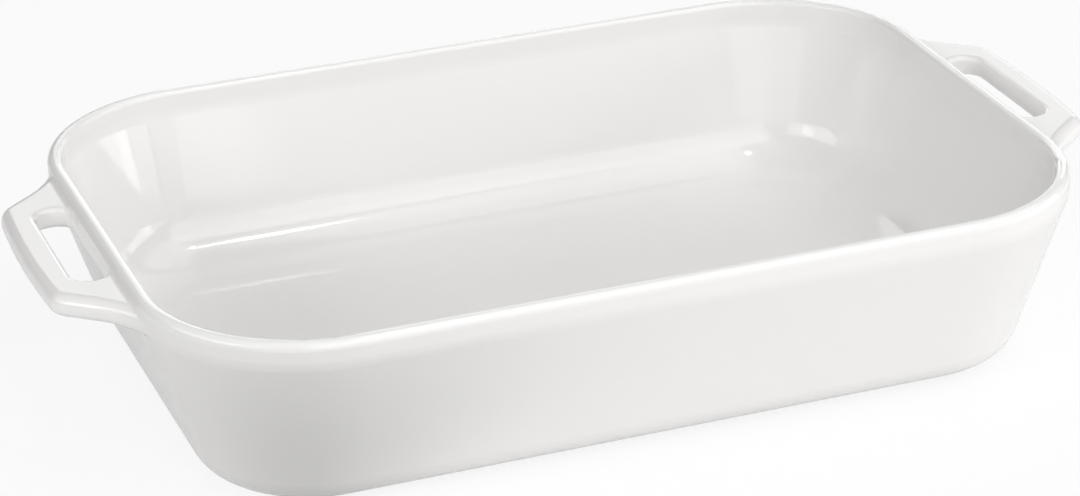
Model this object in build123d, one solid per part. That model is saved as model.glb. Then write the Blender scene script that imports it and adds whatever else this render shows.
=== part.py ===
# Lasagna dish in glazed stoneware, in millimetres.
# Origin on the table under the middle of the dish, +X along its length, +Z up.
import os
from math import atan, degrees

from build123d import *

# Rim and wall
rim_length = 350.0
rim_width = 240.0
dish_height = 73.5
rim_corner_radius = 61.5
wall_thickness = 5.3
rim_band_height = 9.0
rim_outer_rounding = 3.1
rim_inner_rounding = 2.0
bend_rounding = 12.0

# Base and floor
base_inset = 20.0
base_rounding = 14.0
floor_thickness = 7.0
floor_rounding = 25.0

# Unglazed foot ring
foot_height = 1.5
foot_width = 6.0
foot_setback = 14.0
foot_edge_chamfer = 0.6

# Handles
handle_reach = 26.0
handle_bow = 1.8
handle_drop = 3.5
handle_thickness = 8.0
handle_tip_half_width = 40.2
handle_root_half_width = 61.0
handle_crown_rounding = 4.4
handle_under_rounding = 2.4
tip_corner_rounding = 10.0
root_sweep_radius = 46.0
root_crease_rounding = 3.0
wall_tuck = 0.5
wall_core_depth = 4.0

# Finger slots
slot_length = 64.0
slot_reach = 14.3
slot_setback = 0.5
slot_end_share = 0.49
slot_edge_rounding = 2.0

# Luting seam between each handle and the rim
seam_offset = 3.0

# How closely a point must lie on a surface or a level to count as on it
touch_distance = 0.001
level_distance = 0.01
middle_share = 0.5

half_length = rim_length / 2
half_width = rim_width / 2
bend_height = dish_height - rim_band_height
floor_height = foot_height + floor_thickness
lean = base_inset / (bend_height - foot_height)
lean_angle = degrees(atan(lean))
handle_top = dish_height - handle_drop
handle_underside = handle_top - handle_thickness
corner_x = half_length - rim_corner_radius
corner_y = half_width - rim_corner_radius


def rim_plan(inset):
    """Rounded oblong that follows the rim, drawn in from it by an even inset."""
    return RectangleRounded(
        rim_length - 2 * inset,
        rim_width - 2 * inset,
        rim_corner_radius - inset,
    )


def flared_block(bottom, top, rim_inset):
    """Block flaring from its bottom up to the bend, then upright to its top."""
    bottom_inset = rim_inset + lean * (bend_height - bottom)
    flare = extrude(rim_plan(bottom_inset), bend_height - bottom, taper=-lean_angle)
    band = extrude(rim_plan(rim_inset), top - bend_height)
    return Pos(0, 0, bottom) * flare + Pos(0, 0, bend_height) * band


def edges_at(part, height):
    """Level edges of a part at one height."""
    return [
        edge
        for edge in part.edges()
        if abs(edge.center().Z - height) < level_distance
        and edge.bounding_box().size.Z < level_distance
    ]


def dish_shell():
    """Floor, flared walls and rounded rim, without handles or foot ring."""
    outside = flared_block(foot_height, dish_height, 0)
    outside = fillet(edges_at(outside, foot_height), base_rounding)
    outside = fillet(edges_at(outside, bend_height), bend_rounding)
    inside = flared_block(floor_height, dish_height, wall_thickness)
    inside = fillet(edges_at(inside, floor_height), floor_rounding)
    inside = fillet(edges_at(inside, bend_height), bend_rounding)
    shell = outside - inside
    rim_top = shell.faces().sort_by(Axis.Z)[-1]
    shell = fillet(rim_top.outer_wire().edges(), rim_outer_rounding)
    rim_top = shell.faces().sort_by(Axis.Z)[-1]
    return fillet(rim_top.inner_wires()[0].edges(), rim_inner_rounding)


def handle_plan():
    """Plan of the right handle, its roots swept into the rounded rim corners."""
    tip = half_length + handle_reach
    shoulder = tip - handle_bow
    root = half_length - wall_tuck
    near_tip = (shoulder, -handle_tip_half_width)
    far_tip = (shoulder, handle_tip_half_width)
    near_root = (root, -handle_root_half_width)
    far_root = (root, handle_root_half_width)
    near_corner = (corner_x, -corner_y)
    far_corner = (corner_x, corner_y)
    outline = make_face(
        [
            Line(near_root, near_tip),
            ThreePointArc(near_tip, (tip, 0), far_tip),
            Line(far_tip, far_root),
            Line(far_root, far_corner),
            Line(far_corner, near_corner),
            Line(near_corner, near_root),
        ]
    )
    plan = rim_plan(wall_tuck) + outline
    plan = fillet(plan.vertices().group_by(Axis.X)[-1], tip_corner_rounding)
    swollen = offset(plan, root_sweep_radius, kind=Kind.ARC)
    return offset(swollen, -root_sweep_radius, kind=Kind.ARC)


def handle_plate():
    """Right handle as a solid plate with rounded edges, ending inside the wall."""
    plate = extrude(handle_plan(), handle_thickness)
    plate = fillet(plate.faces().sort_by(Axis.Z)[0].edges(), handle_under_rounding)
    plate = fillet(plate.faces().sort_by(Axis.Z)[-1].edges(), handle_crown_rounding)
    plate -= extrude(rim_plan(wall_core_depth), handle_thickness)
    end_region = Pos(corner_x + half_length, 0) * Rectangle(rim_length, rim_width)
    plate &= extrude(end_region, handle_thickness)
    return Pos(0, 0, handle_underside) * plate


def finger_slot():
    """Upright round-ended block that pierces the right handle beside the rim."""
    width = slot_reach - slot_setback
    middle = half_length + slot_setback + width / 2
    plan = RectangleRounded(width, slot_length, slot_end_share * width)
    return Pos(middle, 0) * extrude(plan, dish_height)


def root_creases(joined, shell, plates):
    """Edges where the handle roots meet the wall, on both surfaces at once."""
    creases = []
    for edge in joined.edges():
        middle = edge.position_at(middle_share)
        if abs(middle.X) < corner_x:
            continue
        point = Vertex(middle.X, middle.Y, middle.Z)
        if shell.distance_to(point) > touch_distance:
            continue
        if min(plate.distance_to(point) for plate in plates) < touch_distance:
            creases.append(edge)
    return creases


def slot_mouths(pierced, slot):
    """Edges round both mouths of a slot, without the upright seams in between."""
    mouths = []
    for edge in pierced.edges().filter_by(Axis.Z, reverse=True):
        middle = edge.position_at(middle_share)
        if slot.distance_to(Vertex(middle.X, middle.Y, middle.Z)) < touch_distance:
            mouths.append(edge)
    return mouths


def glazed_dish():
    """Shell and both handles as one, with rolled root creases and finger slots."""
    shell = dish_shell()
    right = handle_plate()
    plates = [right, right.mirror(Plane.YZ)]
    dish = shell
    for plate in plates:
        dish += plate
    dish = fillet(root_creases(dish, shell, plates), root_crease_rounding)
    right_slot = finger_slot()
    for slot in (right_slot, right_slot.mirror(Plane.YZ)):
        dish -= slot
        dish = fillet(slot_mouths(dish, slot), slot_edge_rounding)
    return dish


def foot_ring():
    """Ring under the base that the dish stands on."""
    outer_inset = base_inset + foot_setback
    ring_plan = rim_plan(outer_inset) - rim_plan(outer_inset + foot_width)
    ring = extrude(ring_plan, foot_height)
    return chamfer(edges_at(ring, 0), foot_edge_chamfer)


if __name__ == "__main__":
    os.makedirs("parts", exist_ok=True)
    whole = glazed_dish()
    seam = half_length + seam_offset
    end_block = Pos(seam + half_length / 2, 0, dish_height / 2) * Box(
        half_length, rim_width, dish_height
    )
    right_handle = whole & end_block
    left_handle = whole & end_block.mirror(Plane.YZ)
    dish_body = whole - end_block - end_block.mirror(Plane.YZ)
    export_step(dish_body, "parts/dish_body.step")
    export_step(left_handle, "parts/left_handle.step")
    export_step(right_handle, "parts/right_handle.step")
    export_step(foot_ring(), "parts/foot_ring.step")
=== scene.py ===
"""Studio picture of a white stoneware lasagna dish, dressed over its solid parts.

Everything is in metres, in the frame of the solids: the table is at Z 0, the
dish is centred over the origin, and its long side lies along X.
"""

import logging
import math
from dataclasses import dataclass
from enum import Enum

import bpy
from mathutils import Euler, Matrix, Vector

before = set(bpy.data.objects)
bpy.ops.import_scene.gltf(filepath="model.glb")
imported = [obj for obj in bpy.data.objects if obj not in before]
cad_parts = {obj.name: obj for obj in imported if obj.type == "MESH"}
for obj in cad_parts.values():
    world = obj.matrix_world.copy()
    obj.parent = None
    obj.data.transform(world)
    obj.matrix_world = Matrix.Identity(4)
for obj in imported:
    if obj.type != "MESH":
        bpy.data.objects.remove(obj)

MILLIMETRE = 0.001

# The sRGB curve is a straight line up to the end of its toe and a power above it.
CHANNEL_MAX = 255
TOE_END = 0.04045
TOE_SLOPE = 12.92
CURVE_OFFSET = 0.055
CURVE_POWER = 2.4

# Sockets of a colour mix: the two colours that go in and the one that comes out.
FIRST_COLOUR = 6
SECOND_COLOUR = 7
MIXED_COLOUR = 2

# Watts that an area lamp takes for each square metre and unit of radiance.
WATTS_PER_RADIANCE = 4

log = logging.getLogger("lasagna_dish")


class Finish(Enum):
    """Which surface a part shows."""

    GLAZE = "white_glaze"
    BARE_CLAY = "bare_foot"


def linear_colour(hex_code: str) -> tuple[float, float, float, float]:
    """Turn an sRGB hex colour into the linear colour that a shader takes.

    Args:
        hex_code: colour as six hex digits.

    Returns:
        Linear red, green and blue, and an alpha of 1.
    """
    channels = []
    for start in (0, 2, 4):
        value = int(hex_code[start : start + 2], 16) / CHANNEL_MAX
        if value <= TOE_END:
            channels.append(value / TOE_SLOPE)
        else:
            channels.append(((value + CURVE_OFFSET) / (1 + CURVE_OFFSET)) ** CURVE_POWER)
    return (channels[0], channels[1], channels[2], 1.0)


def direction(azimuth: float, elevation: float) -> Vector:
    """Point from the dish towards a place in the studio.

    Args:
        azimuth: degrees round the dish, 0 at the front, 90 at the right end
            and 180 at the back.
        elevation: degrees above the table.

    Returns:
        The direction, one metre long.
    """
    around = math.radians(azimuth)
    up = math.radians(elevation)
    return Vector(
        (
            math.sin(around) * math.cos(up),
            -math.cos(around) * math.cos(up),
            math.sin(up),
        )
    )


def add_node(
    tree: bpy.types.NodeTree,
    kind: str,
    settings: dict[str, object] | None = None,
    inputs: dict[str | int, object] | None = None,
    links: dict[str | int, bpy.types.NodeSocket] | None = None,
) -> bpy.types.Node:
    """Add one shader node with its settings, values and incoming links.

    Args:
        tree: node tree that the node goes into.
        kind: Blender's name for the kind of node.
        settings: node properties by name.
        inputs: values set on the node's own sockets, by socket name or number.
        links: output sockets of other nodes, by the name or number of the socket
            that they feed.

    Returns:
        The new node.
    """
    node = tree.nodes.new(kind)
    for name, value in (settings or {}).items():
        setattr(node, name, value)
    for name, value in (inputs or {}).items():
        node.inputs[name].default_value = value
    for name, source in (links or {}).items():
        tree.links.new(source, node.inputs[name])
    return node


def mix_colours(
    tree: bpy.types.NodeTree,
    share: bpy.types.NodeSocket,
    first: str | bpy.types.NodeSocket,
    second: str,
) -> bpy.types.NodeSocket:
    """Add a mix of two colours.

    Args:
        tree: node tree that the mix goes into.
        share: how much of the second colour shows, from 0 to 1.
        first: colour at a share of 0, as a hex code or as another node's output.
        second: colour at a share of 1, as a hex code.

    Returns:
        The mixed colour's output socket.
    """
    inputs = {SECOND_COLOUR: linear_colour(second)}
    links = {"Factor": share}
    if isinstance(first, str):
        inputs[FIRST_COLOUR] = linear_colour(first)
    else:
        links[FIRST_COLOUR] = first
    mix = add_node(tree, "ShaderNodeMix", {"data_type": "RGBA"}, inputs, links)
    return mix.outputs[MIXED_COLOUR]


def add_noise(
    tree: bpy.types.NodeTree,
    place: bpy.types.NodeSocket,
    width: float,
    detail: float,
    roughness: float = 0.5,
) -> bpy.types.NodeSocket:
    """Add an even noise that is fixed to the object.

    Args:
        tree: node tree that the noise goes into.
        place: the point's place on the object.
        width: rough width of the noise's largest patches.
        detail: how many finer layers lie on top of them.
        roughness: how strong each finer layer is.

    Returns:
        The noise's output socket.
    """
    inputs = {"Scale": 1 / width, "Detail": detail, "Roughness": roughness}
    noise = add_node(tree, "ShaderNodeTexNoise", inputs=inputs, links={"Vector": place})
    return noise.outputs["Fac"]


def add_bump(
    tree: bpy.types.NodeTree,
    height: bpy.types.NodeSocket,
    depth: float,
    below: bpy.types.NodeSocket | None = None,
) -> bpy.types.NodeSocket:
    """Add a fine relief that bends the light but not the shape.

    Args:
        tree: node tree that the relief goes into.
        height: how high each point of the relief is, from 0 to 1.
        depth: depth of the whole relief.
        below: a relief that this one lies on, if there is one.

    Returns:
        The bent normal's output socket.
    """
    links = {"Height": height}
    if below is not None:
        links["Normal"] = below
    inputs = {"Strength": 1.0, "Distance": depth}
    bump = add_node(tree, "ShaderNodeBump", inputs=inputs, links=links)
    return bump.outputs["Normal"]


def soft_step(
    tree: bpy.types.NodeTree,
    value: bpy.types.NodeSocket,
    start: float,
    end: float,
) -> bpy.types.NodeSocket:
    """Add a soft step from 0 to 1.

    Args:
        tree: node tree that the step goes into.
        value: what the step depends on.
        start: value at which the step leaves 0.
        end: value at which it reaches 1.

    Returns:
        The step's output socket.
    """
    step = add_node(
        tree,
        "ShaderNodeMapRange",
        settings={"interpolation_type": "SMOOTHSTEP"},
        inputs={"From Min": start, "From Max": end},
        links={"Value": value},
    )
    return step.outputs["Result"]


def fresh_material(name: str) -> tuple[bpy.types.Material, bpy.types.NodeTree]:
    """Make a node material with an empty tree.

    Args:
        name: name of the material.

    Returns:
        The material and its node tree.
    """
    material = bpy.data.materials.new(name)
    material.use_nodes = True
    material.node_tree.nodes.clear()
    return material, material.node_tree


@dataclass(frozen=True)
class GlazedStoneware:
    """Opaque white glaze, dipped and fired to a gloss on pressed stoneware.

    The eye gets a bright, almost neutral white with sharp reflections that
    wander a little, because the molten coat settled unevenly. On the last
    millimetre and a half below the rim's top the white is a shade paler, a
    painted highlight, so the rim reads as a light line.
    """

    name: str = "white_glazed_stoneware"
    coat_colour: str = "F2F1F0"
    # Painted highlight: the rim's top 1.5 mm gets this paler white, so the rim reads as a light line.
    rim_highlight_colour: str = "F8F8F6"
    roughness: float = 0.06
    refraction: float = 1.52
    settle_width: float = 26 * MILLIMETRE
    settle_depth: float = 0.05 * MILLIMETRE
    skin_width: float = 3.5 * MILLIMETRE
    skin_depth: float = 0.002 * MILLIMETRE
    rim_highlight_from: float = 72.0 * MILLIMETRE
    rim_highlight_to: float = 73.5 * MILLIMETRE

    def build(self) -> bpy.types.Material:
        """Build the glaze's material.

        Returns:
            The material.
        """
        material, tree = fresh_material(self.name)
        place = add_node(tree, "ShaderNodeTexCoord").outputs["Object"]
        waves = add_noise(tree, place, self.settle_width, detail=1.0, roughness=0.4)
        skin = add_noise(tree, place, self.skin_width, detail=2.0)
        settled = add_bump(tree, waves, self.settle_depth)
        height = add_node(tree, "ShaderNodeSeparateXYZ", links={"Vector": place})
        # Mask of the painted rim highlight over the rim's top 1.5 mm.
        at_rim_highlight = soft_step(tree, height.outputs["Z"], self.rim_highlight_from, self.rim_highlight_to)
        shader = add_node(
            tree,
            "ShaderNodeBsdfPrincipled",
            inputs={"Roughness": self.roughness, "IOR": self.refraction},
            links={
                "Base Color": mix_colours(tree, at_rim_highlight, self.coat_colour, self.rim_highlight_colour),
                "Normal": add_bump(tree, skin, self.skin_depth, below=settled),
            },
        )
        surface = {"Surface": shader.outputs["BSDF"]}
        add_node(tree, "ShaderNodeOutputMaterial", links=surface)
        return material


@dataclass(frozen=True)
class BareStoneware:
    """Fired clay wiped free of glaze where the dish stood in the kiln.

    The eye gets a dry, matt, warm grey with a fine sandy grain.
    """

    name: str = "bare_fired_stoneware"
    clay_colour: str = "CFC8BC"
    grit_colour: str = "A79B8B"
    roughness: float = 0.85
    grain_width: float = 0.8 * MILLIMETRE
    grain_depth: float = 0.05 * MILLIMETRE
    tint_width: float = 14 * MILLIMETRE

    def build(self) -> bpy.types.Material:
        """Build the bare clay's material.

        Returns:
            The material.
        """
        material, tree = fresh_material(self.name)
        place = add_node(tree, "ShaderNodeTexCoord").outputs["Object"]
        grain = add_noise(tree, place, self.grain_width, detail=4.0, roughness=0.6)
        tint = add_noise(tree, place, self.tint_width, detail=3.0)
        share = add_node(
            tree,
            "ShaderNodeMath",
            settings={"operation": "MULTIPLY"},
            links={0: grain, 1: tint},
        ).outputs["Value"]
        shader = add_node(
            tree,
            "ShaderNodeBsdfPrincipled",
            inputs={"Roughness": self.roughness},
            links={
                "Base Color": mix_colours(tree, share, self.clay_colour, self.grit_colour),
                "Normal": add_bump(tree, grain, self.grain_depth),
            },
        )
        surface = {"Surface": shader.outputs["BSDF"]}
        add_node(tree, "ShaderNodeOutputMaterial", links=surface)
        return material


@dataclass(frozen=True)
class StudioPaper:
    """Matt paper under the dish.

    The eye gets near-white paper with the dish's own faint shadow on it. Most
    of what the camera sees is the paper's glow. Reflections get less of that
    glow, so that the lower edge and the left end of the dish stand out against
    the paper. A round dark spot before the left front corner is painted shade:
    it throws little light back, so that corner of the dish is shaded and its
    curve reads. The spot dims only that thrown light: neither the camera nor a
    reflection sees it.
    """

    name: str = "white_paper_sweep"
    seen_colour: str = "F8F8F8"
    bounce_colour: str = "E8E8E8"
    # Painted shade: a dark spot that only bounce light sees, so the dish's left front corner is shaded.
    shade_spot_colour: str = "181818"
    shade_spot_centre: tuple[float, float, float] = (-0.155, -0.185, 0.0)
    shade_spot_core: float = 0.045
    shade_spot_edge: float = 0.115
    glow: float = 1.0
    glow_share: float = 0.86
    mirrored_glow_share: float = 0.35

    def bounce(self, tree: bpy.types.NodeTree) -> bpy.types.NodeSocket:
        """Add the colour that the paper throws back, with its dark spot of painted shade.

        Args:
            tree: node tree of the paper's material.

        Returns:
            The colour's output socket.
        """
        reach = add_node(
            tree,
            "ShaderNodeVectorMath",
            settings={"operation": "DISTANCE"},
            inputs={1: self.shade_spot_centre},
            links={0: add_node(tree, "ShaderNodeTexCoord").outputs["Object"]},
        )
        # Mask that is 0 in the painted shade spot and 1 beyond it.
        beyond_shade_spot = soft_step(tree, reach.outputs["Value"], self.shade_spot_core, self.shade_spot_edge)
        return mix_colours(tree, beyond_shade_spot, self.shade_spot_colour, self.bounce_colour)

    def build(self) -> bpy.types.Material:
        """Build the paper's material.

        Returns:
            The material.
        """
        material, tree = fresh_material(self.name)
        path = add_node(tree, "ShaderNodeLightPath")
        camera_ray = path.outputs["Is Camera Ray"]
        glossy_ray = path.outputs["Is Glossy Ray"]
        seen = add_node(
            tree,
            "ShaderNodeMath",
            settings={"operation": "MAXIMUM"},
            links={0: camera_ray, 1: glossy_ray},
        ).outputs["Value"]
        colour = mix_colours(tree, seen, self.bounce(tree), self.seen_colour)
        paper = add_node(tree, "ShaderNodeBsdfDiffuse", links={"Color": colour})
        glow = add_node(tree, "ShaderNodeEmission", inputs={"Strength": self.glow})
        mirrored = add_node(
            tree,
            "ShaderNodeMath",
            settings={"operation": "MULTIPLY"},
            inputs={1: self.mirrored_glow_share},
            links={0: glossy_ray},
        )
        share = add_node(
            tree,
            "ShaderNodeMath",
            settings={"operation": "MULTIPLY_ADD"},
            inputs={1: self.glow_share},
            links={0: camera_ray, 2: mirrored.outputs["Value"]},
        )
        mixed = add_node(
            tree,
            "ShaderNodeMixShader",
            links={
                0: share.outputs["Value"],
                1: paper.outputs["BSDF"],
                2: glow.outputs["Emission"],
            },
        )
        surface = {"Surface": mixed.outputs["Shader"]}
        add_node(tree, "ShaderNodeOutputMaterial", links=surface)
        return material


@dataclass(frozen=True)
class CarriedPart:
    """One solid part of the dish, carried over as it is and given its finish."""

    node: str
    finish: Finish

    def dress(self, materials: dict[Finish, bpy.types.Material]) -> bpy.types.Object:
        """Give the part its material.

        Args:
            materials: the material of each finish.

        Returns:
            The part's object.
        """
        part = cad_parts[self.node]
        part.data.materials.clear()
        part.data.materials.append(materials[self.finish])
        return part


@dataclass(frozen=True)
class PaperSweep:
    """Flat pale paper that the dish stands on."""

    half_side: float = 4.0

    def build(self) -> None:
        """Lay the paper on the table plane."""
        bpy.ops.mesh.primitive_plane_add(size=2 * self.half_side, location=(0, 0, 0))
        sweep = bpy.context.object
        sweep.name = "paper_sweep"
        sweep.data.materials.append(StudioPaper().build())


@dataclass(frozen=True)
class Softbox:
    """Oblong light panel that faces the point on the table under the dish's middle.

    Its angles are those of direction(), and its lengths are in metres.
    """

    name: str
    azimuth: float
    elevation: float
    distance: float
    width: float
    height: float
    radiance: float

    def build(self) -> None:
        """Hang the panel in its place."""
        towards = direction(self.azimuth, self.elevation)
        lamp = bpy.data.lights.new(self.name, "AREA")
        lamp.shape = "RECTANGLE"
        lamp.size = self.width
        lamp.size_y = self.height
        lamp.energy = WATTS_PER_RADIANCE * self.radiance * self.width * self.height
        panel = bpy.data.objects.new(self.name, lamp)
        bpy.context.scene.collection.objects.link(panel)
        panel.location = towards * self.distance
        panel.rotation_euler = towards.to_track_quat("Z", "Y").to_euler()


# The wide panels mirror in the glaze as soft sheens. The last one is small and
# strong, and draws the sharp glints where the dish's floor curves up into its walls.
SOFTBOXES = (
    Softbox("front_key", azimuth=10, elevation=40, distance=1.8, width=1.6, height=1.1, radiance=1.45),
    Softbox("front_overhead", azimuth=15, elevation=62, distance=1.8, width=1.6, height=1.2, radiance=0.45),
    Softbox("front_low", azimuth=5, elevation=12, distance=1.7, width=1.6, height=0.6, radiance=0.36),
    Softbox("front_left_low", azimuth=-20, elevation=12, distance=1.6, width=2.0, height=0.6, radiance=0.66),
    Softbox("left_front", azimuth=-60, elevation=30, distance=1.6, width=0.8, height=0.5, radiance=1.7),
    Softbox("left", azimuth=-85, elevation=26, distance=1.6, width=1.3, height=0.5, radiance=2.1),
    Softbox("right_low", azimuth=75, elevation=12, distance=1.6, width=1.2, height=0.6, radiance=1.9),
    Softbox("right_overhead", azimuth=80, elevation=60, distance=1.8, width=1.4, height=1.2, radiance=0.92),
    Softbox("right_front_low", azimuth=50, elevation=10, distance=1.1, width=0.6, height=0.35, radiance=1.0),
    Softbox("back_right_low", azimuth=150, elevation=14, distance=1.8, width=1.4, height=0.7, radiance=1.2),
    Softbox("back", azimuth=172, elevation=27, distance=1.8, width=0.9, height=0.6, radiance=1.3),
    Softbox("glint", azimuth=35, elevation=70, distance=1.6, width=0.10, height=0.12, radiance=18.0),
)


@dataclass(frozen=True)
class StudioCamera:
    """Camera at the photograph's viewing angle."""

    azimuth: float = -20.26
    elevation: float = 24.79
    roll: float = -1.32
    distance: float = 1.3406
    aim: tuple[float, float, float] = (-0.0055, 0.0013, 0.0350)
    lens: float = 119.7
    sensor_width: float = 36.0
    nearest: float = 0.05
    farthest: float = 50.0

    def build(self) -> None:
        """Place the camera and make it the scene's own."""
        data = bpy.data.cameras.new("studio_camera")
        data.lens = self.lens
        data.sensor_fit = "HORIZONTAL"
        data.sensor_width = self.sensor_width
        data.clip_start = self.nearest
        data.clip_end = self.farthest
        camera = bpy.data.objects.new("studio_camera", data)
        bpy.context.scene.collection.objects.link(camera)
        tilt = math.pi / 2 - math.radians(self.elevation)
        aimed = Euler((tilt, 0, math.radians(self.azimuth))).to_matrix()
        rolled = aimed @ Euler((0, 0, math.radians(self.roll))).to_matrix()
        camera.matrix_world = rolled.to_4x4()
        back = direction(self.azimuth, self.elevation)
        camera.location = Vector(self.aim) + back * self.distance
        bpy.context.scene.camera = camera


@dataclass(frozen=True)
class Studio:
    """Lamps, surrounding light, paper and camera."""

    surround_colour: str = "FFFFFF"
    surround: float = 0.12

    def light(self) -> None:
        """Set the surrounding light and hang the softboxes."""
        world = bpy.data.worlds.new("pale_studio")
        bpy.context.scene.world = world
        world.use_nodes = True
        tree = world.node_tree
        tree.nodes.clear()
        inputs = {"Color": linear_colour(self.surround_colour), "Strength": self.surround}
        room = add_node(tree, "ShaderNodeBackground", inputs=inputs)
        surface = {"Surface": room.outputs["Background"]}
        add_node(tree, "ShaderNodeOutputWorld", links=surface)
        for softbox in SOFTBOXES:
            softbox.build()

    def build(self) -> None:
        """Build the whole studio round the dish."""
        StudioCamera().build()
        PaperSweep().build()
        self.light()
        bpy.context.scene.view_settings.view_transform = "Standard"


def main() -> None:
    """Build the studio and dress every part of the dish."""
    logging.basicConfig(level=logging.INFO, format="%(name)s: %(message)s")
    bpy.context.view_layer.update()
    bpy.ops.object.select_all(action="DESELECT")
    Studio().build()
    materials = {
        Finish.GLAZE: GlazedStoneware().build(),
        Finish.BARE_CLAY: BareStoneware().build(),
    }
    for part in (
        CarriedPart("dish_body", Finish.GLAZE),
        CarriedPart("left_handle", Finish.GLAZE),
        CarriedPart("right_handle", Finish.GLAZE),
        CarriedPart("foot_ring", Finish.BARE_CLAY),
    ):
        dressed = part.dress(materials)
        log.info("%s dressed in %s", dressed.name, part.finish.value)


if __name__ == "__main__":
    main()
